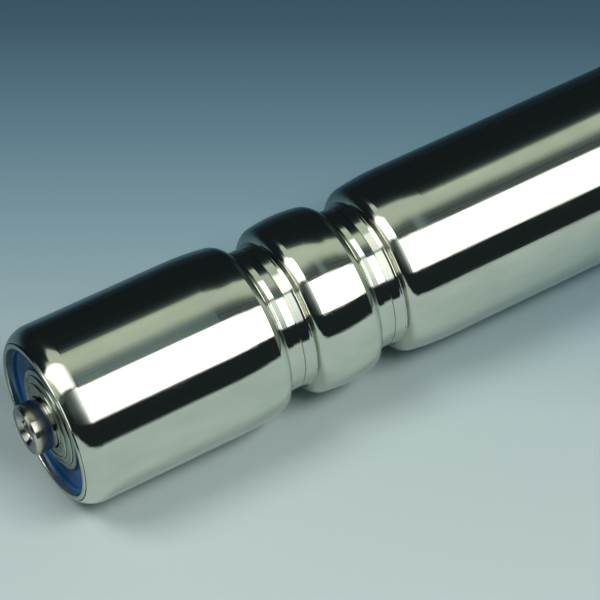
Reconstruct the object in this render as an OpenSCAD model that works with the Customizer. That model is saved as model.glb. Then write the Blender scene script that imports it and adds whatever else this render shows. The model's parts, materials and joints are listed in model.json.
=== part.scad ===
// Grooved conveyor roller for round drive belts.
// A rolled steel tube turns on two ball bearings about a fixed axle with a tapped hole in each end.
// The roller axis lies along X, the belt grooves are near the left end, and the origin is the roller's centre.

/* [Tube] */
// Length of the tube between its rolled end edges
tube_length = 197; // [170:1:1200]
// Outside diameter of the tube
tube_d = 50; // [48:0.5:60]
// Wall thickness of the tube
tube_wall = 1.5; // [1:0.1:1.8]
// Radius of the shoulder rolled at each end
end_roll_r = 7.5; // [6:0.25:10]
// How far the rolled shoulder draws the end edge in, on the radius
end_drop = 2.5; // [2:0.05:2.8]
// Thickness of the trimmed end edge
end_edge = 0.2; // [0.15:0.05:0.4]

/* [Belt grooves] */
// Number of belt grooves
groove_count = 2; // [1:1:4]
// Distance from the left end edge to the middle of the first groove
first_groove = 65.75; // [40:0.25:90]
// Distance between neighbouring grooves
groove_pitch = 28; // [24:0.25:40]
// Width of a groove between the ends of its shoulders
groove_w = 14.5; // [14:0.25:20]
// Depth of a groove
groove_depth = 4.8; // [3:0.1:5.2]
// Radius of the shoulders beside a groove
groove_shoulder_r = 4; // [3.5:0.1:5.5]
// Radius of the inner corners of a groove
groove_corner_r = 0.8; // [0.5:0.1:2]
// Length of tube beside the grooves whose surface their rolling draws in
draw_w = 12; // [8:0.5:20]
// How far the surface is drawn in where a groove's shoulder starts
draw_in = 0.95; // [0.3:0.05:1.2]

/* [Axle] */
// Diameter of the axle
axle_d = 14; // [12:0.1:14]
// How far each axle end stands out of the tube
axle_stub = 5.75; // [3:0.25:20]
// Chamfer on the axle's end edges
axle_chamfer = 0.6; // [0.3:0.1:1]
// Core diameter of the tapped hole in each axle end
tapped_d = 6.8; // [5:0.1:7]
// Depth of the tapped hole's cylindrical wall and countersink together
tapped_depth = 20; // [12:1:30]
// Diameter of the countersink at the mouth of the tapped hole
countersink_d = 9.6; // [8:0.1:10.4]
// Included angle of the drill point at the bottom of the tapped hole
drill_angle = 118; // [90:1:140]

/* [End cup] */
// Sheet thickness of the pressed steel end cup
cup_wall = 1.4; // [1:0.1:1.6]
// Gap between the cup's rim and the tube's end edge
cup_gap = 0.2; // [0.15:0.05:0.4]
// How far the cup's rim stands out of the tube
cup_proud = 0.5; // [0:0.1:1.5]
// Rounding of the cup's rim
cup_rim_r = 0.35; // [0.1:0.05:0.45]
// Depth of the cup's open back edge, from the tube's end edge
cup_length = 17; // [15:0.5:30]

/* [Bearing housing] */
// Depth of the housing's front face
housing_face = 2.3; // [2:0.1:3]
// Width of the raised lip around the housing's front face
housing_lip_w = 1; // [0.6:0.1:2]
// Height of the raised lip around the housing's front face
housing_lip_h = 1; // [0.4:0.1:1.4]
// Thickness of the housing's wall in front of the bearing
housing_front = 2.7; // [2.6:0.1:4]
// Radius of the hole through the housing's front wall
housing_hole_r = 13.1; // [12.6:0.1:13.3]

/* [Bearing] */
// Bore of the bearing
bearing_bore = 15; // [15:0.1:16]
// Outside diameter of the bearing
bearing_d = 32; // [31.6:0.1:36]
// Width of the bearing
bearing_w = 9; // [8.6:0.1:11]
// Diameter of a ball
ball_d = 4.75; // [4.5:0.05:5]
// Number of balls
ball_count = 9; // [7:1:10]
// Gap between a ball and its races or cage
ball_gap = 0.12; // [0.08:0.01:0.2]
// Height of the shoulder on each side of a race groove
race_shoulder = 0.85; // [0.6:0.05:1]
// Chamfer on the races' corners
race_chamfer = 0.4; // [0.2:0.1:0.6]
// Width of the cage along the axle
cage_w = 6.2; // [6:0.1:6.4]
// Thickness of the shields
shield_t = 0.35; // [0.3:0.05:0.5]
// Depth of a shield below the bearing's face
shield_depth = 0.35; // [0.2:0.05:0.5]

/* [Seals and locks] */
// Diameter of the dust cover
cover_d = 28; // [27.6:0.1:30]
// Thickness of the dust cover
cover_t = 0.9; // [0.6:0.1:1]
// Depth of the dust cover's outer edge
cover_edge = 1.6; // [1.5:0.1:1.8]
// Depth of the dust cover's flat middle
cover_middle = 0.2; // [0:0.1:0.5]
// Radius of the dust cover's flat middle
cover_middle_r = 9; // [8.5:0.1:9.5]
// Radii of the ridges pressed into the dust cover
cover_ridges = [10.3, 12.4];
// Radius of a ridge's rounded section
ridge_r = 0.45; // [0.3:0.05:0.6]
// Thickness of the labyrinth ring's web
labyrinth_t = 0.9; // [0.6:0.1:1.1]
// Radius of the labyrinth ring's hub
labyrinth_hub_r = 8.6; // [8.2:0.1:9]
// Thickness of the retaining ring
ring_t = 1; // [0.8:0.1:1.5]
// Depth of the retaining ring's groove in the axle
ring_groove = 0.4; // [0.3:0.05:0.8]
// Radial width of the retaining ring
ring_w = 1.7; // [1.4:0.1:2]
// Angle of the retaining ring's opening
ring_opening = 50; // [40:1:80]
// Radius of the lugs beside the retaining ring's opening
ring_lug_r = 1.2; // [1:0.1:1.3]

/* [Fits] */
// Gap left on the radius and between faces where one piece seats in another
seat_gap = 0.02; // [0.01:0.01:0.04]
// Gap between pieces that turn past each other
run_gap = 0.35; // [0.3:0.05:0.45]

/* [Hidden] */
$fn = 96;
// Length by which a cutting shape runs past the faces it cuts
past = 1;

tube_r = tube_d / 2;
axle_r = axle_d / 2;
axle_length = tube_length + 2 * axle_stub;

// Depth at which the end shoulder meets the straight tube
end_depth = sqrt(pow(end_roll_r, 2) - pow(end_roll_r - end_drop, 2));
end_bore_r = tube_r - end_drop - end_edge;

// The drawn-in surface is a long arc that meets a groove's shoulder at this angle
draw_angle = 2 * atan(draw_in / draw_w);
draw_r = draw_w / sin(draw_angle);
// The land between two grooves is crowned by an arc that ends at the same angle
crown_r = (groove_pitch - groove_w) / 2 / sin(draw_angle);
// Steps round the circles of these long arcs
long_arc_fn = 720;

// Centres of a groove's shoulder and corner arcs, which meet on the line between them
shoulder_at = [tube_r - draw_in - groove_shoulder_r * cos(draw_angle),
               groove_w / 2 + groove_shoulder_r * sin(draw_angle)];
corner_at_r = tube_r - groove_depth + groove_corner_r;
corner_at = [corner_at_r, shoulder_at[1] - sqrt(pow(groove_shoulder_r + groove_corner_r, 2)
                                                - pow(shoulder_at[0] - corner_at_r, 2))];

cup_neck_r = end_bore_r - cup_gap;
cup_inset = tube_wall + seat_gap;
housing_inset = cup_wall + seat_gap;
housing_r = cup_neck_r - housing_inset;

// Depths along the axle, from the tube's end edge inwards
bearing_front = housing_face + housing_front;
bearing_back = bearing_front + bearing_w;
bearing_middle = bearing_front + bearing_w / 2;

ball_r = ball_d / 2;
// The ball centres lie midway between the bore and the outside
pitch_r = (bearing_bore + bearing_d) / 4;
race_groove_r = ball_r + ball_gap;
inner_race_r = pitch_r - race_groove_r + race_shoulder;
outer_race_r = pitch_r + race_groove_r - race_shoulder;
// The rebate that holds a shield reaches this radius
shield_r = outer_race_r + race_shoulder / 2;

cover_r = cover_d / 2;
labyrinth_r = housing_hole_r - run_gap;
ring_seat_r = axle_r - ring_groove;
ring_outer_r = ring_seat_r + ring_w;
countersink_depth = (countersink_d - tapped_d) / 2;

sides = ["left", "right"];

// Places an end's pieces, drawn with Z as the depth from the tube's end edge
module at_end(side) {
    mirror([side == "right" ? 1 : 0, 0, 0])
        translate([-tube_length / 2, 0, 0])
            rotate([0, 90, 0])
                children();
}

// A plain ring between two radii and two depths, as a half-section
module ring_section(inner_r, outer_r, front, back) {
    translate([inner_r, front]) square([outer_r - inner_r, back - front]);
}

// The corner that the end shoulder takes off a form set in from the tube's surface
module end_corner(inset) {
    difference() {
        translate([tube_r - end_roll_r, -past]) square([end_roll_r + past, end_depth + past]);
        translate([tube_r - end_roll_r, end_depth]) circle(r = end_roll_r - inset);
    }
}

// What rolling the grooves draws off the surface beside and between them
module drawn_space(inset) {
    first_edge = first_groove - groove_w / 2;
    last_edge = first_groove + (groove_count - 1) * groove_pitch + groove_w / 2;
    difference() {
        translate([tube_r - draw_in - inset - past, first_edge - draw_w])
            square([draw_in + inset + 2 * past, last_edge - first_edge + 2 * draw_w]);
        for (start = [first_edge - draw_w, last_edge + draw_w])
            translate([tube_r - draw_r, start]) circle(r = draw_r - inset, $fn = long_arc_fn);
        for (land = [1 : 1 : groove_count - 1])
            translate([tube_r - draw_in - crown_r * cos(draw_angle), first_groove + (land - 0.5) * groove_pitch])
                circle(r = crown_r - inset, $fn = long_arc_fn);
    }
}

// The space of one groove, for a form set in from the tube's surface
module groove_space(inset) {
    lip_length = groove_shoulder_r + draw_in + past;
    lip = shoulder_at + lip_length * [cos(draw_angle), -sin(draw_angle)];
    floor_r = tube_r - groove_depth - inset;
    difference() {
        union() {
            polygon([shoulder_at, corner_at, [corner_at[0], -corner_at[1]], [shoulder_at[0], -shoulder_at[1]],
                     [lip[0], -lip[1]], lip]);
            translate([floor_r, -corner_at[1]]) square([corner_at[0] - floor_r, 2 * corner_at[1]]);
            for (turn = [1, -1])
                translate([corner_at[0], turn * corner_at[1]]) circle(r = groove_corner_r + inset);
        }
        for (turn = [1, -1])
            translate([shoulder_at[0], turn * shoulder_at[1]]) circle(r = groove_shoulder_r - inset);
    }
}

// Half-section of the whole tube's form, set in from its surface
module tube_form(inset) {
    difference() {
        square([tube_r - inset, tube_length]);
        end_corner(inset);
        translate([0, tube_length]) mirror([0, 1]) end_corner(inset);
        drawn_space(inset);
        for (index = [0 : groove_count - 1])
            translate([0, first_groove + index * groove_pitch]) groove_space(inset);
    }
}

module tube() {
    color("gainsboro")
        translate([-tube_length / 2, 0, 0])
            rotate([0, 90, 0])
                rotate_extrude()
                    difference() {
                        tube_form(0);
                        tube_form(tube_wall);
                        translate([0, -past]) square([end_bore_r, end_depth + past]);
                        translate([0, tube_length - end_depth]) square([end_bore_r, end_depth + past]);
                    }
}

// Half-section of the end cup's form: a neck that passes the tube's edge, and a body under its shoulder
module cup_form(inset, front, back) {
    translate([0, front]) square([cup_neck_r - inset, end_depth - front]);
    difference() {
        square([tube_r - cup_inset - inset, back]);
        end_corner(cup_inset + inset);
    }
}

module end_cup() {
    rim_front = -cup_proud + cup_rim_r;
    color("silver")
        rotate_extrude() {
            difference() {
                cup_form(0, rim_front, cup_length);
                cup_form(cup_wall, -cup_proud - past, cup_length + past);
            }
            translate([cup_neck_r - cup_wall + cup_rim_r, -cup_proud])
                square([cup_wall - 2 * cup_rim_r, cup_rim_r + seat_gap]);
            for (rim_r = [cup_neck_r - cup_rim_r, cup_neck_r - cup_wall + cup_rim_r])
                translate([rim_r, rim_front]) circle(r = cup_rim_r);
        }
}

module bearing_housing() {
    color("royalblue")
        rotate_extrude()
            difference() {
                cup_form(housing_inset, housing_face - housing_lip_h, cup_length);
                square([housing_r - housing_lip_w, housing_face]);
                square([housing_r, housing_face - housing_lip_h]);
                square([cover_r + seat_gap, cover_edge + cover_t + seat_gap]);
                square([housing_hole_r, cup_length + past]);
                translate([0, bearing_front]) square([bearing_d / 2 + seat_gap, cup_length]);
            }
}

// A shallow dished disc with pressed ridges, clear of the axle
module dust_cover() {
    hole_r = axle_r + run_gap;
    slope = (cover_edge - cover_middle) / (cover_r - ridge_r - cover_middle_r);
    edge_r = cover_r - ridge_r;
    color("silver")
        rotate_extrude() {
            difference() {
                union() {
                    polygon([[hole_r, cover_middle], [cover_middle_r, cover_middle], [edge_r, cover_edge],
                             [cover_r, cover_edge], [cover_r, cover_edge + cover_t],
                             [edge_r, cover_edge + cover_t], [cover_middle_r, cover_middle + cover_t],
                             [hole_r, cover_middle + cover_t]]);
                    for (ridge = cover_ridges)
                        translate([ridge, cover_middle + slope * (ridge - cover_middle_r)])
                            circle(r = ridge_r);
                }
                for (ridge = cover_ridges)
                    translate([ridge, cover_middle + cover_t + slope * (ridge - cover_middle_r)])
                        circle(r = ridge_r - seat_gap);
            }
        }
}

// A ring on the axle whose web turns inside the dust cover and keeps dust from the bearing
module labyrinth_ring() {
    web_front = cover_edge + cover_t;
    color("dimgray")
        rotate_extrude() {
            ring_section(axle_r + seat_gap, labyrinth_hub_r, web_front, bearing_front - seat_gap);
            ring_section(axle_r + seat_gap, labyrinth_r, web_front, web_front + labyrinth_t);
            ring_section(labyrinth_r - labyrinth_t, labyrinth_r, web_front, web_front + 2 * labyrinth_t);
        }
}

// Half-section of a race with chamfered outside or inside corners
module race_section(inner_r, outer_r, chamfer_inner) {
    bare = chamfer_inner ? inner_r : outer_r;
    into = chamfer_inner ? race_chamfer : -race_chamfer;
    difference() {
        ring_section(inner_r, outer_r, bearing_front, bearing_back);
        for (face = [bearing_front, bearing_back]) {
            inward = face == bearing_front ? race_chamfer : -race_chamfer;
            polygon([[bare, face + inward], [bare + into, face], [bare, face - inward], [bare - into, face]]);
        }
        translate([pitch_r, bearing_middle]) circle(r = race_groove_r);
    }
}

module outer_race() {
    rebate = shield_depth + shield_t + seat_gap;
    color("lightsteelblue")
        rotate_extrude()
            difference() {
                race_section(outer_race_r, bearing_d / 2, false);
                for (front = [bearing_front - past, bearing_back - rebate])
                    translate([0, front]) square([shield_r + seat_gap, rebate + past]);
            }
}

module inner_race() {
    color("lightsteelblue")
        rotate_extrude()
            race_section(bearing_bore / 2, inner_race_r, true);
}

module bearing_balls() {
    color("white")
        for (index = [0 : ball_count - 1])
            rotate([0, 0, index * 360 / ball_count])
                translate([pitch_r, 0, bearing_middle])
                    sphere(r = ball_r);
}

// A ring with a round window for each ball
module ball_cage() {
    color("darkslategray")
        difference() {
            rotate_extrude()
                ring_section(inner_race_r + run_gap, outer_race_r - run_gap,
                             bearing_middle - cage_w / 2, bearing_middle + cage_w / 2);
            for (index = [0 : ball_count - 1])
                rotate([0, 0, index * 360 / ball_count])
                    translate([inner_race_r - past, 0, bearing_middle])
                        rotate([0, 90, 0])
                            cylinder(r = race_groove_r, h = outer_race_r - inner_race_r + 2 * past);
        }
}

module shield(front) {
    color("silver")
        rotate_extrude()
            ring_section(inner_race_r + run_gap, shield_r, front, front + shield_t);
}

// A thin sleeve that takes up the difference between the axle and the bearing's bore
module axle_bush() {
    color("dimgray")
        rotate_extrude()
            ring_section(axle_r + seat_gap, bearing_bore / 2 - seat_gap, bearing_front, bearing_back);
}

// A spring ring in the axle's groove, behind the bearing, with a lug on each side of its opening
module retaining_ring() {
    lug_r = ring_outer_r - ring_lug_r / 2;
    lug_angle = ring_opening / 2 + asin(ring_lug_r / lug_r);
    reach = 2 * ring_outer_r;
    color("darkgray")
        translate([0, 0, bearing_back + seat_gap])
            linear_extrude(ring_t)
                difference() {
                    union() {
                        circle(r = ring_outer_r);
                        for (turn = [-1, 1])
                            rotate(turn * lug_angle) translate([lug_r, 0]) circle(r = ring_lug_r);
                    }
                    circle(r = ring_seat_r + seat_gap);
                    polygon([[0, 0], reach * [cos(ring_opening / 2), sin(ring_opening / 2)],
                             reach * [cos(ring_opening / 2), -sin(ring_opening / 2)]]);
                    for (turn = [-1, 1])
                        rotate(turn * lug_angle) translate([lug_r, 0]) circle(r = ring_lug_r / 2);
                }
}

// Half-section of one tapped hole, from its mouth inwards
module tapped_hole() {
    tip = tapped_d / 2 / tan(drill_angle / 2);
    polygon([[0, -past], [countersink_d / 2, -past], [countersink_d / 2, 0],
             [tapped_d / 2, countersink_depth], [tapped_d / 2, tapped_depth], [0, tapped_depth + tip]]);
}

module axle() {
    color("lightgray")
        translate([-axle_length / 2, 0, 0])
            rotate([0, 90, 0])
                rotate_extrude()
                    difference() {
                        polygon([[0, 0], [axle_r - axle_chamfer, 0], [axle_r, axle_chamfer],
                                 [axle_r, axle_length - axle_chamfer],
                                 [axle_r - axle_chamfer, axle_length], [0, axle_length]]);
                        tapped_hole();
                        translate([0, axle_length]) mirror([0, 1]) tapped_hole();
                        for (front = [axle_stub + bearing_back,
                                      axle_length - axle_stub - bearing_back - ring_t - 2 * seat_gap])
                            translate([ring_seat_r, front])
                                square([ring_groove + past, ring_t + 2 * seat_gap]);
                    }
}

tube();
axle();
for (side = sides) {
    at_end(side) end_cup();
    at_end(side) bearing_housing();
    at_end(side) dust_cover();
    at_end(side) labyrinth_ring();
    at_end(side) outer_race();
    at_end(side) inner_race();
    at_end(side) bearing_balls();
    at_end(side) ball_cage();
    at_end(side) shield(bearing_front + shield_depth);
    at_end(side) shield(bearing_back - shield_depth - shield_t);
    at_end(side) axle_bush();
    at_end(side) retaining_ring();
}
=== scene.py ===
import json
import math
import bmesh
import bpy
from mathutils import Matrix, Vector


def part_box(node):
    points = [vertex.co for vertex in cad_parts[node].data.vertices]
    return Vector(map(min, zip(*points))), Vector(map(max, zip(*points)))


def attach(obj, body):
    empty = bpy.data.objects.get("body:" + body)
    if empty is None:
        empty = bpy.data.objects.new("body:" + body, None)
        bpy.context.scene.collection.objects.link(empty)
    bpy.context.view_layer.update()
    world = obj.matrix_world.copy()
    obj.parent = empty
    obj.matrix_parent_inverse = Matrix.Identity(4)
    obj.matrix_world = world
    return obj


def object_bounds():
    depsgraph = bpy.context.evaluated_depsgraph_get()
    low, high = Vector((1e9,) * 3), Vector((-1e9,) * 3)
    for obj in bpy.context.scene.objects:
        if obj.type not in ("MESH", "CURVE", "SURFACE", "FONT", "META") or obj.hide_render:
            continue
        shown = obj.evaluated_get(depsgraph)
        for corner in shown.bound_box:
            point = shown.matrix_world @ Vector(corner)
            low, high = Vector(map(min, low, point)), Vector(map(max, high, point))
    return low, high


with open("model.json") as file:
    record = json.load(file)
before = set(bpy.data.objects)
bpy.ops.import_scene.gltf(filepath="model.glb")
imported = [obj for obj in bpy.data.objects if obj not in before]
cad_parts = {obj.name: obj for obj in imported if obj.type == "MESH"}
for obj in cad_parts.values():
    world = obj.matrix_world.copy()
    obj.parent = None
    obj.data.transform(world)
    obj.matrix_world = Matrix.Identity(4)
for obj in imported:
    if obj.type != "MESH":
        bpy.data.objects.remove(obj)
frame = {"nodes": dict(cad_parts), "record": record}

cadLow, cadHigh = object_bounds()
nodes = frame["nodes"]
ends = {"left": -1, "right": 1}
mm = 0.001
noiseSpan = {"From Min": 0.3, "From Max": 0.7}  # most of a noise pattern's values lie in here


def hexToLinear(code):
    # sRGB hex to the linear values that shaders use
    parts = [int(code[i:i + 2], 16) / 255 for i in (1, 3, 5)]
    return [c / 12.92 if c <= 0.04045 else ((c + 0.055) / 1.055) ** 2.4 for c in parts] + [1.0]


def addNode(tree, kind, sockets=None, **settings):
    # one shader node with its settings; a socket takes a value, an output or a node's first live output
    node = tree.nodes.new("ShaderNode" + kind)
    for name, value in settings.items():
        setattr(node, name, value)
    for name, value in (sockets or {}).items():
        if isinstance(value, bpy.types.Node):
            value = next(output for output in value.outputs if output.enabled)
        if isinstance(value, bpy.types.NodeSocket):
            tree.links.new(value, node.inputs[name])
        else:
            node.inputs[name].default_value = value
    return node


def setStops(ramp, stops):
    # a colour ramp from (position, colour) pairs
    elements = ramp.color_ramp.elements
    while len(elements) < len(stops):
        elements.new(0.5)
    for element, (position, colour) in zip(elements, stops):
        element.position = position
        element.color = hexToLinear(colour) if isinstance(colour, str) else list(colour) + [1.0]


def startMaterial(name, colour, metallic, roughness):
    material = bpy.data.materials.new(name)
    material.use_nodes = True
    tree = material.node_tree
    tree.nodes.clear()
    shader = addNode(tree, "BsdfPrincipled",
                     {"Base Color": hexToLinear(colour), "Metallic": metallic, "Roughness": roughness})
    addNode(tree, "OutputMaterial", {"Surface": shader})
    place = addNode(tree, "TexCoord").outputs["Object"]
    return material, tree, shader, place


def stretchedNoise(tree, place, size, detail=2.0, seed=0.0):
    # noise whose grains are that many millimetres long along the axle and across it
    along, across = size
    spread = addNode(tree, "Mapping", {"Vector": place, "Location": (seed, seed, seed),
                                       "Scale": (1 / (along * mm), 1 / (across * mm), 1 / (across * mm))})
    return addNode(tree, "TexNoise", {"Vector": spread, "Scale": 1.0, "Detail": detail})


def finishSurface(tree, shader, relief, pattern, given, lean=None):
    # stacks the relief's layers, and lets one pattern vary colour and roughness together
    bump = None
    for height, depth in relief:
        below = {"Normal": bump} if bump else {}
        bump = addNode(tree, "Bump", {"Height": height, "Distance": depth * mm, "Strength": 1.0, **below})
    if lean:
        bump = addNode(tree, "VectorMath", {0: bump, 1: lean}, operation="ADD")
        bump = addNode(tree, "VectorMath", {0: bump}, operation="NORMALIZE")
    low, high = given["roughness"]
    roughness = addNode(tree, "MapRange", {"Value": pattern, **noiseSpan, "To Min": low, "To Max": high})
    part = addNode(tree, "MapRange", {"Value": pattern, **noiseSpan})
    colour = addNode(tree, "Mix", {"Factor": part, "A": hexToLinear(given["colour"]),
                                   "B": hexToLinear(given["stain"])}, data_type="RGBA")
    tree.links.new(bump.outputs[0], shader.inputs["Normal"])
    tree.links.new(roughness.outputs["Result"], shader.inputs["Roughness"])
    tree.links.new(colour.outputs["Result"], shader.inputs["Base Color"])


cameraSet = {
    "aimFromLeftEdge": 77.9, "aimBack": 1.1,  # millimetres from the tube's left end edge
    "distance": 720.4, "azimuth": -31.62, "elevation": 48.84, "lens": 161.5,
    "clip": (0.01, 50),  # metres
}
tubeLow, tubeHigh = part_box("tube")
azimuth, elevation = math.radians(cameraSet["azimuth"]), math.radians(cameraSet["elevation"])
back = Vector((math.sin(azimuth) * math.cos(elevation), -math.cos(azimuth) * math.cos(elevation),
               math.sin(elevation)))
aim = Vector((tubeLow[0] + cameraSet["aimFromLeftEdge"] * mm, cameraSet["aimBack"] * mm, 0))
cameraData = bpy.data.cameras.new("camera")
cameraData.lens = cameraSet["lens"]
cameraData.clip_start, cameraData.clip_end = cameraSet["clip"]
camera = bpy.data.objects.new("camera", cameraData)
camera.location = aim + back * cameraSet["distance"] * mm
camera.rotation_mode = "QUATERNION"
camera.rotation_quaternion = (-back).to_track_quat("-Z", "Y")
bpy.context.scene.collection.objects.link(camera)
bpy.context.scene.camera = camera
print("camera set")


tubeSet = {
    "colour": "#dadccf", "stain": "#cdd0c4", "roughness": (0.045, 0.085),
    # lengths along the axle and widths across it, in millimetres; real drawn lines and rolling marks
    # are finer than a tenth of a millimetre, so both are drawn coarser to show
    "drawnLine": (60.0, 0.35), "rollingMark": (0.35, 30.0), "wave": (35.0, 9.0), "smudge": (14.0, 6.0),
    "lineHeight": 0.007, "rollingHeight": 0.006, "waveHeight": 0.02,
    "grooveRadius": (22.5, 24.4),  # rolling marks are full below the first radius and gone at the second
    # height of the groove's floor across its middle, where the roll left its steps
    "stepReach": 4.0, "stepHeight": 1.0,
    "steps": [(0.0, 0.35), (0.02, 0.1), (0.3, 0.62), (0.58, 0.64), (0.62, 0.3), (0.95, 0.82), (0.97, 0.8),
              (1.0, 0.35)],
    "laterGroove": 0.01,  # metres before a groove's middle at which its steps take over
}
grooveMiddles = sorted({round((opening["box_m"][0][0] + opening["box_m"][1][0]) / 2, 6)
                        for opening in frame["record"]["physics"]["openings"]})


def makePolishedSteel():
    # stainless tube, drawn and then polished: a clear mirror with faint lines along it,
    # a slight wave, and fine rings where the grooves were rolled
    material, tree, shader, place = startMaterial("polishedStainlessTube", tubeSet["colour"], 1.0, 0.06)
    wave = stretchedNoise(tree, place, tubeSet["wave"], detail=1.0, seed=9.0)
    lines = stretchedNoise(tree, place, tubeSet["drawnLine"], detail=4.0)
    rings = stretchedNoise(tree, place, tubeSet["rollingMark"], detail=3.0, seed=4.0)
    smudge = stretchedNoise(tree, place, tubeSet["smudge"], detail=4.0, seed=2.0)
    flat = addNode(tree, "VectorMath", {0: place, 1: (0, 1, 1)}, operation="MULTIPLY")
    radius = addNode(tree, "VectorMath", {0: flat}, operation="LENGTH")
    full, gone = tubeSet["grooveRadius"]
    inGroove = addNode(tree, "MapRange", {"Value": radius, "From Min": full * mm, "From Max": gone * mm,
                                          "To Min": 1.0, "To Max": 0.0})
    rings = addNode(tree, "Math", {0: rings, 1: inGroove}, operation="MULTIPLY")
    along = addNode(tree, "SeparateXYZ", {"Vector": place}).outputs["X"]
    nearest = addNode(tree, "Math", {0: along, 1: grooveMiddles[0]}, operation="SUBTRACT")
    for middle in grooveMiddles[1:]:
        other = addNode(tree, "Math", {0: along, 1: middle}, operation="SUBTRACT")
        later = addNode(tree, "Math", {0: along, 1: middle - tubeSet["laterGroove"]},
                        operation="GREATER_THAN")
        nearest = addNode(tree, "Mix", {"Factor": later, "A": nearest, "B": other})
    reach = tubeSet["stepReach"] * mm
    steps = addNode(tree, "ValToRGB", {"Fac": addNode(tree, "MapRange", {"Value": nearest, "From Min": -reach,
                                                                         "From Max": reach})})
    setStops(steps, [(at, (height,) * 3) for at, height in tubeSet["steps"]])
    relief = [(wave, tubeSet["waveHeight"]), (lines, tubeSet["lineHeight"]),
              (rings, tubeSet["rollingHeight"]), (steps, tubeSet["stepHeight"])]
    finishSurface(tree, shader, relief, smudge, tubeSet)
    return material


axleSet = {
    "colour": "#cfcec6", "stain": "#aaa79c", "roughness": (0.12, 0.2),
    # millimetres; real drawing lines are finer than this and are drawn coarser to show
    "drawnLine": (25.0, 0.25), "turningPitch": 0.18, "blotch": (5.0, 4.0),
    "lineHeight": 0.002, "turningHeight": 0.003,
}


def makeAxleSteel():
    # cold-drawn bright steel bar with turned ends: fine lines along it, rings on its end faces
    material, tree, shader, place = startMaterial("brightDrawnAxleSteel", axleSet["colour"], 1.0, 0.2)
    lines = stretchedNoise(tree, place, axleSet["drawnLine"], detail=3.0)
    blotch = stretchedNoise(tree, place, axleSet["blotch"], detail=4.0, seed=3.0)
    flat = addNode(tree, "VectorMath", {0: place, 1: (0, 1, 1)}, operation="MULTIPLY")
    radius = addNode(tree, "VectorMath", {0: flat}, operation="LENGTH")
    turning = addNode(tree, "Math", {0: radius, 1: 2 * math.pi / (axleSet["turningPitch"] * mm)},
                      operation="MULTIPLY")
    turning = addNode(tree, "Math", {0: turning}, operation="SINE")
    relief = [(lines, axleSet["lineHeight"]), (turning, axleSet["turningHeight"])]
    finishSurface(tree, shader, relief, blotch, axleSet)
    return material


# ring is the width of the press or grinding marks round the axle and height their depth, in millimetres;
# the ground and lapped ones are really finer and are drawn coarser to show
sheetSet = {
    # bright zinc on a deep-drawn cup: near mirror, softly stained
    "pressedCupSteel": {"colour": "#d3d5cb", "stain": "#bfc1b5", "roughness": (0.1, 0.2),
                        "ring": 0.5, "height": 0.0015},
    # greenish zinc on the dust cover: greyer and more clouded
    "zincPlatedCoverSteel": {"colour": "#b3bcb0", "stain": "#8f9b8e", "roughness": (0.12, 0.24),
                             "ring": 0.5, "height": 0.0015},
    # plain stamped sheet: satin
    "pressedShieldSteel": {"colour": "#c4c4bd", "stain": "#adada4", "roughness": (0.2, 0.32),
                           "ring": 0.5, "height": 0.0015},
    # ground rings: even and bright
    "groundBearingSteel": {"colour": "#c8c9c6", "stain": "#b7b8b3", "roughness": (0.06, 0.12),
                           "ring": 0.2, "height": 0.0006},
    # lapped balls: the clearest mirror here
    "lappedBallSteel": {"colour": "#d6d7d6", "stain": "#cccdcb", "roughness": (0.02, 0.05),
                        "ring": 0.6, "height": 0.0003},
    # blackened spring wire: dark and dull
    "blackenedSpringSteel": {"colour": "#4a4743", "stain": "#37342f", "roughness": (0.3, 0.45),
                             "ring": 0.5, "height": 0.0015},
}
sheetGrain = {"ringLength": 14.0, "speckle": (0.5, 0.5), "stains": (4.0, 4.0)}  # millimetres


def makeSheetMetal(name):
    # rings around the axle from the press tool, fine speckle and a little staining
    given = sheetSet[name]
    material, tree, shader, place = startMaterial(name, given["colour"], 1.0, given["roughness"][0])
    rings = stretchedNoise(tree, place, (given["ring"], sheetGrain["ringLength"]), detail=3.0)
    speckle = stretchedNoise(tree, place, sheetGrain["speckle"], detail=2.0, seed=5.0)
    stains = stretchedNoise(tree, place, sheetGrain["stains"], detail=4.0, seed=7.0)
    relief = [(rings, given["height"]), (speckle, given["height"])]
    finishSurface(tree, shader, relief, stains, given)
    return material


plasticSet = {
    # the housing's face is moulded with a fall towards the axle, so its normals lean that way
    "blueMouldedPolyamide": {"colour": "#1f5e93", "stain": "#1a5284", "roughness": (0.3, 0.42), "dish": 0.9},
    "darkMouldedPolyamide": {"colour": "#26282b", "stain": "#1c1e20", "roughness": (0.35, 0.5), "dish": 0.0},
    "greenCagePolyamide": {"colour": "#2c3b36", "stain": "#22302b", "roughness": (0.35, 0.5), "dish": 0.0},
}
# millimetres; a mould's real grain is finer and is drawn coarser to show
plasticGrain = {"ior": 1.53, "grain": (0.35, 0.35), "grainHeight": 0.004, "flow": (6.0, 6.0)}


def makePlastic(name):
    # moulded polyamide: an even colour with the fine dull grain of the mould
    given = plasticSet[name]
    material, tree, shader, place = startMaterial(name, given["colour"], 0.0, given["roughness"][0])
    shader.inputs["IOR"].default_value = plasticGrain["ior"]
    grain = stretchedNoise(tree, place, plasticGrain["grain"], detail=3.0)
    flow = stretchedNoise(tree, place, plasticGrain["flow"], detail=3.0, seed=6.0)
    lean = None
    if given["dish"]:
        lean = addNode(tree, "VectorMath", {0: place, 1: (0, 1, 1)}, operation="MULTIPLY")
        lean = addNode(tree, "VectorMath", {0: lean}, operation="NORMALIZE")
        lean = addNode(tree, "VectorMath", {0: lean, "Scale": -given["dish"]}, operation="SCALE")
        lean = addNode(tree, "VectorTransform", {"Vector": lean}, vector_type="VECTOR",
                       convert_from="OBJECT", convert_to="WORLD")
    finishSurface(tree, shader, [(grain, plasticGrain["grainHeight"])], flow, given, lean)
    return material


def dress(node, material):
    if not nodes[node].material_slots:
        nodes[node].data.materials.append(material)
    for slot in nodes[node].material_slots:
        slot.material = material


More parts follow.
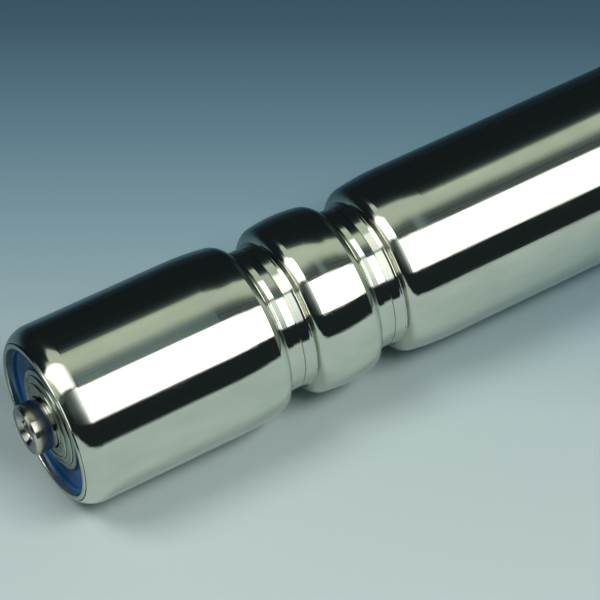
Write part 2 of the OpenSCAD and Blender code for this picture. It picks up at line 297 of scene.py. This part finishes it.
axleSteel = makeAxleSteel()
sheets = {name: makeSheetMetal(name) for name in sheetSet}
plastics = {name: makePlastic(name) for name in plasticSet}
endFinishes = {
    "end_cup": sheets["pressedCupSteel"], "bearing_housing": plastics["blueMouldedPolyamide"],
    "dust_cover": sheets["zincPlatedCoverSteel"], "labyrinth_ring": plastics["darkMouldedPolyamide"],
    "outer_race": sheets["groundBearingSteel"], "inner_race": sheets["groundBearingSteel"],
    "bearing_balls": sheets["lappedBallSteel"], "ball_cage": plastics["greenCagePolyamide"],
    "outer_shield": sheets["pressedShieldSteel"], "inner_shield": sheets["pressedShieldSteel"],
    "axle_bush": plastics["darkMouldedPolyamide"], "retaining_ring": sheets["blackenedSpringSteel"],
}
dress("tube", makePolishedSteel())
dress("axle", axleSteel)
for end in ends:
    for piece, material in endFinishes.items():
        dress(piece + "_" + end, material)
print("finishes set")


holeRadius = next(mount["dims"]["r_mm"] for mount in frame["record"]["mounts"]
                  if mount["name"] == "axle_thread_left")
# millimetres; the ridge stands inward from just inside the hole's wall
threadSet = {
    "clear": 0.01, "height": 0.27, "pitch": 1.25, "start": 1.5, "turns": 14, "steps": 48,
    "foot": 0.5, "top": 0.09, "fadeTurns": 0.5,  # half widths in pitches, and turns in which the ends fade
}


def makeThread(end, turn):
    # one helical ridge on the wall of the tapped hole
    mesh = bmesh.new()
    root = holeRadius - threadSet["clear"]
    crest = root - threadSet["height"]
    foot, top = threadSet["foot"], threadSet["top"]
    profile = [(-foot, root), (-top, crest), (top, crest), (foot, root)]
    face = turn * (abs(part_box("axle")[1][0]) / mm - threadSet["start"])
    rows = []
    for step in range(threadSet["turns"] * threadSet["steps"] + 1):
        part = step / threadSet["steps"]
        angle = turn * 2 * math.pi * part
        fade = min(1, part / threadSet["fadeTurns"], (threadSet["turns"] - part) / threadSet["fadeTurns"])
        row = []
        for shift, reach in profile:
            reach = root + (reach - root) * fade
            row.append(mesh.verts.new(((face - turn * (part + shift) * threadSet["pitch"]) * mm,
                                       reach * math.cos(angle) * mm, reach * math.sin(angle) * mm)))
        rows.append(row)
    for near, far in zip(rows, rows[1:]):
        for i in range(len(profile) - 1):
            mesh.faces.new((near[i], near[i + 1], far[i + 1], far[i]))
    bmesh.ops.recalc_face_normals(mesh, faces=mesh.faces)
    data = bpy.data.meshes.new("thread_" + end)
    mesh.to_mesh(data)
    mesh.free()
    data.materials.append(axleSteel)
    thread = bpy.data.objects.new("thread_" + end, data)
    bpy.context.scene.collection.objects.link(thread)
    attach(thread, "axle")


for end, turn in ends.items():
    makeThread(end, turn)
print("threads cut")


floorSet = {
    "size": 6.0, "plain": "#c0cac8", "roughness": 0.9, "specular": 0.1,
    # painted falloff of light: colours by metres along the camera's ground line, from the front to the back,
    # pale in front and painted darker towards the back
    "stops": [(-0.08, "#bbc9c6"), (-0.02, "#b2c2bf"), (0.02, "#93a9ac"), (0.05, "#7f9aa2"), (0.09, "#61808c"),
              (0.135, "#435c6b"), (0.2, "#2c3f4a"), (0.3, "#22323b")],
    # painted shadow of the roller: metal sees the paper at the roller's back darkened by this colour, from
    # the first y to the second, in metres
    "behind": (-0.015, 0.015), "mirrored": "#b0b5ba",
}


def makeFloor():
    # matt swept paper; its colour is a painted falloff of light, an even pale front that falls away to dark
    # blue-grey
    mesh = bmesh.new()
    bmesh.ops.create_grid(mesh, x_segments=4, y_segments=4, size=floorSet["size"] / 2)
    data = bpy.data.meshes.new("floor")
    mesh.to_mesh(data)
    mesh.free()
    floor = bpy.data.objects.new("floor", data)
    floor.location = (aim[0], 0, cadLow[2])
    bpy.context.scene.collection.objects.link(floor)
    material, tree, shader, place = startMaterial("sweptPaperFloor", floorSet["plain"], 0.0,
                                                  floorSet["roughness"])
    shader.inputs["Specular IOR Level"].default_value = floorSet["specular"]
    away = Vector((-back[0], -back[1], 0)).normalized()
    # painted falloff of light: the floor's colour darkens along the camera's ground line, away from the front
    run = addNode(tree, "VectorMath", {0: place, 1: away}, operation="DOT_PRODUCT")
    first, last = floorSet["stops"][0][0], floorSet["stops"][-1][0]
    run = addNode(tree, "MapRange", {"Value": run, "From Min": first, "From Max": last})
    ramp = addNode(tree, "ValToRGB", {"Fac": run})
    setStops(ramp, [((at - first) / (last - first), colour) for at, colour in floorSet["stops"]])
    # painted shadow: for glossy rays only, the floor at the roller's back is multiplied by a darker colour
    behind = addNode(tree, "SeparateXYZ", {"Vector": place}).outputs["Y"]
    start, full = floorSet["behind"]
    behind = addNode(tree, "MapRange", {"Value": behind, "From Min": start, "From Max": full})
    mirrored = addNode(tree, "Math", {0: behind, 1: addNode(tree, "LightPath").outputs["Is Glossy Ray"]},
                       operation="MULTIPLY")
    shade = addNode(tree, "Mix", {"Factor": mirrored, "A": hexToLinear("#ffffff"),
                                  "B": hexToLinear(floorSet["mirrored"])}, data_type="RGBA")
    colour = addNode(tree, "Mix", {"Factor": 1.0, "A": ramp, "B": shade},
                     data_type="RGBA", blend_type="MULTIPLY")
    tree.links.new(colour.outputs["Result"], shader.inputs["Base Color"])
    data.materials.append(material)


makeFloor()
print("floor laid")


lampSet = {
    # direction from the roller, distance, width and height in metres, and radiance
    "front": {"towards": (0.2, -0.5, 0.84), "distance": 1.5, "width": 0.85, "height": 0.4, "radiance": 13.2},
    "above": {"towards": (-0.5, 0.15, 0.86), "distance": 1.3, "width": 0.5, "height": 0.5, "radiance": 10.2},
}


def makeLamp(name):
    # a softbox for the matt surfaces; glossy rays see the studio made below
    given = lampSet[name]
    towards = Vector(given["towards"]).normalized()
    data = bpy.data.lights.new(name, "AREA")
    data.shape = "RECTANGLE"
    data.size, data.size_y = given["width"], given["height"]
    data.energy = given["radiance"] * math.pi * given["width"] * given["height"]
    lamp = bpy.data.objects.new(name, data)
    lamp.location = aim + towards * given["distance"]
    lamp.rotation_mode = "QUATERNION"
    lamp.rotation_quaternion = (-towards).to_track_quat("-Z", "Y")
    lamp.visible_camera = False
    lamp.visible_glossy = False
    bpy.context.scene.collection.objects.link(lamp)


studioSet = {
    # what glossy rays see. An angle is about the roller's axis, in degrees, from straight back
    # over the top to the front; a reach is the x of a direction, from -1 at the left to 1
    "numberTop": 200.0,  # a list of numbers is held as greys, and this number is white
    # the pale ceiling: the angle at which it starts, by reach, and its colours by degrees past that
    "ceilingStart": [(-1, 0), (-0.9, 15), (-0.8, 46), (-0.6, 50), (-0.45, 56), (-0.3, 47), (-0.15, 43),
                     (0, 46), (0.1, 51), (0.18, 57), (0.28, 59), (0.35, 62), (0.41, 65), (0.45, 65),
                     (0.5, 62), (0.57, 64), (0.65, 70), (0.8, 78), (1, 90)],
    "ceiling": [(-30, "#191f22"), (-14, "#1c2325"), (-8, "#262e31"), (-4, "#384242"), (-1, "#5c6763"),
                (1.5, "#b4c2b2"), (4, "#c4d0bf"), (60, "#c4d0bf")],
    # the darker folded line before the softbox: its middle by reach, its strength by degrees past that
    "lineMiddle": [(-1, 95), (0.1, 99), (0.2, 95), (0.52, 95), (0.6, 100), (0.7, 108), (1, 129)],
    "line": [(-20, 0.0), (-13, 0.1), (-9, 0.4), (-5, 0.76), (-1, 0.92), (3, 1.0), (30, 1.0)],
    "lineColour": [(-1, "#3a4749"), (0.23, "#3a4749"), (0.26, "#667a7e"), (0.3, "#667a7e"), (0.34, "#36454a"),
                   (1, "#36454a")],
    "foldsPerDegree": 1.6, "foldNoise": (0.36, 0.56), "foldStrength": (0.72, 1.12),
    # the dark room in front, and the wall past the far end
    "front": "#1f2528", "frontFrom": (148.5, 152),
    "farRight": [(-40, "#202c34"), (0, "#1c2326"), (60, "#3c4644"), (80, "#66736c"), (90, "#b8c2b4"),
                 (125, "#a2ac9f"), (150, "#7c877d"), (180, "#5c6660")],
    "farRightReach": (0.6, 0.67),
    # the softbox: its edges in degrees, and its strength and tint by reach
    "softboxFrom": [(-1, 106), (0.02, 105.5), (0.1, 107.5), (1, 107.5)], "softboxTo": 150, "softboxEdge": 1.2,
    "softbox": [(-1, 0.03), (-0.9, 0.04), (-0.8, 0.09), (-0.6, 0.13), (-0.45, 0.22), (-0.3, 0.42),
                (-0.2, 0.72), (-0.1, 1.1), (0.0, 1.4), (0.07, 3.0), (0.57, 3.0), (0.63, 0.4), (0.66, 0.0)],
    "softboxTint": [(-1, "#d2ecec"), (-0.1, "#eefcf9"), (0.05, "#fffffc"), (1, "#fffffc")],
    "softboxReach": (0.59, 0.65),
    # its lower left part is dimmer
    "dimReach": (-0.15, 0.05), "dimAngle": (128, 147), "dim": 0.6,
    # the overhead light: normals of the planes at its back and front edges
    "spot": 2.6, "spotBack": (0.36, 1, -0.325), "spotFront": (-0.13, -1, -0.23), "spotEdge": 0.035,
    "spotReach": (-0.88, -0.8, -0.12, 0.1),
    "sideLight": 0.9, "sideAngle": (8, 30, 52, 60), "sideReach": (-1.2, -1.1, -0.9, -0.84),
    "lightColour": (1.0, 1.0, 0.97, 1.0),
    # what other rays and the camera see
    "backdrop": "#8fa5ab", "fill": "#93abc2", "fillLight": 0.22,
}


def makeStudio():
    world = bpy.data.worlds.new("studio")
    bpy.context.scene.world = world
    world.use_nodes = True
    tree = world.node_tree
    tree.nodes.clear()
    direction = addNode(tree, "TexCoord").outputs["Generated"]
    way = addNode(tree, "SeparateXYZ", {"Vector": direction})
    angle = addNode(tree, "Math", {0: way.outputs["Z"], 1: way.outputs["Y"]}, operation="ARCTAN2")
    angle = addNode(tree, "Math", {0: angle}, operation="DEGREES")
    reach = way.outputs["X"]

    def follow(stops, value):
        # colours, or numbers held as greys, along a value
        first, last = stops[0][0], stops[-1][0]
        part = addNode(tree, "MapRange", {"Value": value, "From Min": first, "From Max": last})
        ramp = addNode(tree, "ValToRGB", {"Fac": part})
        setStops(ramp, [((at - first) / (last - first),
                         c if isinstance(c, str) else (c / studioSet["numberTop"],) * 3) for at, c in stops])
        return ramp

    def numberAlong(stops, value):
        # the greys of a followed list, back as numbers
        return addNode(tree, "Math", {0: follow(stops, value), 1: studioSet["numberTop"]},
                       operation="MULTIPLY")

    def beyondPlane(normal):
        # 1 on the inner side of a plane through the roller, softly 0 on the other
        soft = studioSet["spotEdge"]
        side = addNode(tree, "VectorMath", {0: direction, 1: normal}, operation="DOT_PRODUCT")
        return addNode(tree, "MapRange", {"Value": side, "From Min": soft, "From Max": -soft})

    def within(value, limits):
        # rises between the first two limits and falls between the last two
        rise, full, fall, gone = limits
        up = addNode(tree, "MapRange", {"Value": value, "From Min": rise, "From Max": full})
        down = addNode(tree, "MapRange", {"Value": value, "From Min": fall, "From Max": gone,
                                          "To Min": 1.0, "To Max": 0.0})
        return addNode(tree, "Math", {0: up, 1: down}, operation="MULTIPLY")

    ceiling = addNode(tree, "Math", {0: angle, 1: numberAlong(studioSet["ceilingStart"], reach)},
                      operation="SUBTRACT")
    line = addNode(tree, "Math", {0: angle, 1: numberAlong(studioSet["lineMiddle"], reach)},
                   operation="SUBTRACT")
    line = numberAlong(studioSet["line"], line)
    folds = addNode(tree, "Math", {0: angle, 1: studioSet["foldsPerDegree"]}, operation="MULTIPLY")
    folds = addNode(tree, "TexNoise", {"W": folds, "Scale": 1.0, "Detail": 3.0}, noise_dimensions="1D")
    folds = addNode(tree, "MapRange", {"Value": folds, "From Min": studioSet["foldNoise"][0],
                                       "From Max": studioSet["foldNoise"][1],
                                       "To Min": studioSet["foldStrength"][0],
                                       "To Max": studioSet["foldStrength"][1]})
    line = addNode(tree, "Math", {0: line, 1: folds}, operation="MULTIPLY")
    front = addNode(tree, "MapRange", {"Value": angle, "From Min": studioSet["frontFrom"][0],
                                       "From Max": studioSet["frontFrom"][1]})
    farRight = addNode(tree, "MapRange", {"Value": reach, "From Min": studioSet["farRightReach"][0],
                                          "From Max": studioSet["farRightReach"][1]})

    edge, end = studioSet["softboxEdge"], studioSet["softboxTo"]
    strip = addNode(tree, "Math", {0: angle, 1: numberAlong(studioSet["softboxFrom"], reach)},
                    operation="SUBTRACT")
    strip = addNode(tree, "MapRange", {"Value": strip, "From Min": -edge, "From Max": edge})
    stripEnd = addNode(tree, "MapRange", {"Value": angle, "From Min": end - edge, "From Max": end + edge,
                                          "To Min": 1.0, "To Max": 0.0})
    stripReach = addNode(tree, "MapRange", {"Value": reach, "From Min": studioSet["softboxReach"][0],
                                            "From Max": studioSet["softboxReach"][1],
                                            "To Min": 1.0, "To Max": 0.0})
    strip = addNode(tree, "Math", {0: strip, 1: stripEnd}, operation="MULTIPLY")
    strip = addNode(tree, "Math", {0: strip, 1: stripReach}, operation="MULTIPLY")
    dimReach = addNode(tree, "MapRange", {"Value": reach, "From Min": studioSet["dimReach"][0],
                                          "From Max": studioSet["dimReach"][1], "To Min": 1.0, "To Max": 0.0})
    dim = addNode(tree, "MapRange", {"Value": angle, "From Min": studioSet["dimAngle"][0],
                                     "From Max": studioSet["dimAngle"][1], "To Max": studioSet["dim"]})
    dim = addNode(tree, "Math", {0: dimReach, 1: dim}, operation="MULTIPLY")
    dim = addNode(tree, "Math", {0: 1.0, 1: dim}, operation="SUBTRACT")
    strength = addNode(tree, "Math", {0: numberAlong(studioSet["softbox"], reach), 1: dim},
                       operation="MULTIPLY")
    softbox = addNode(tree, "Mix", {"Factor": 1.0, "A": follow(studioSet["softboxTint"], reach),
                                    "B": strength}, data_type="RGBA", blend_type="MULTIPLY")
    spot = addNode(tree, "Math", {0: beyondPlane(studioSet["spotBack"]),
                                  1: beyondPlane(studioSet["spotFront"])}, operation="MULTIPLY")
    spot = addNode(tree, "Math", {0: spot, 1: within(reach, studioSet["spotReach"])}, operation="MULTIPLY")
    side = addNode(tree, "Math", {0: within(angle, studioSet["sideAngle"]),
                                  1: within(reach, studioSet["sideReach"])}, operation="MULTIPLY")

    seen = follow(studioSet["ceiling"], ceiling)
    for part, colour in ((line, follow(studioSet["lineColour"], reach)),
                         (front, hexToLinear(studioSet["front"])),
                         (farRight, follow(studioSet["farRight"], angle)),
                         (strip, softbox),
                         (spot, [c * studioSet["spot"] for c in studioSet["lightColour"]]),
                         (side, [c * studioSet["sideLight"] for c in studioSet["lightColour"]])):
        seen = addNode(tree, "Mix", {"Factor": part, "A": seen, "B": colour}, data_type="RGBA")

    mirrored = addNode(tree, "Background", {"Color": seen})
    fill = addNode(tree, "Background", {"Color": hexToLinear(studioSet["fill"]),
                                        "Strength": studioSet["fillLight"]})
    shown = addNode(tree, "Background", {"Color": hexToLinear(studioSet["backdrop"])})
    path = addNode(tree, "LightPath")
    mix = addNode(tree, "MixShader", {0: path.outputs["Is Glossy Ray"], 1: fill, 2: mirrored})
    mix = addNode(tree, "MixShader", {0: path.outputs["Is Camera Ray"], 1: mix, 2: shown})
    addNode(tree, "OutputWorld", {"Surface": mix})


for name in lampSet:
    makeLamp(name)
makeStudio()
bpy.context.scene.view_settings.view_transform = "Standard"
print("light set")
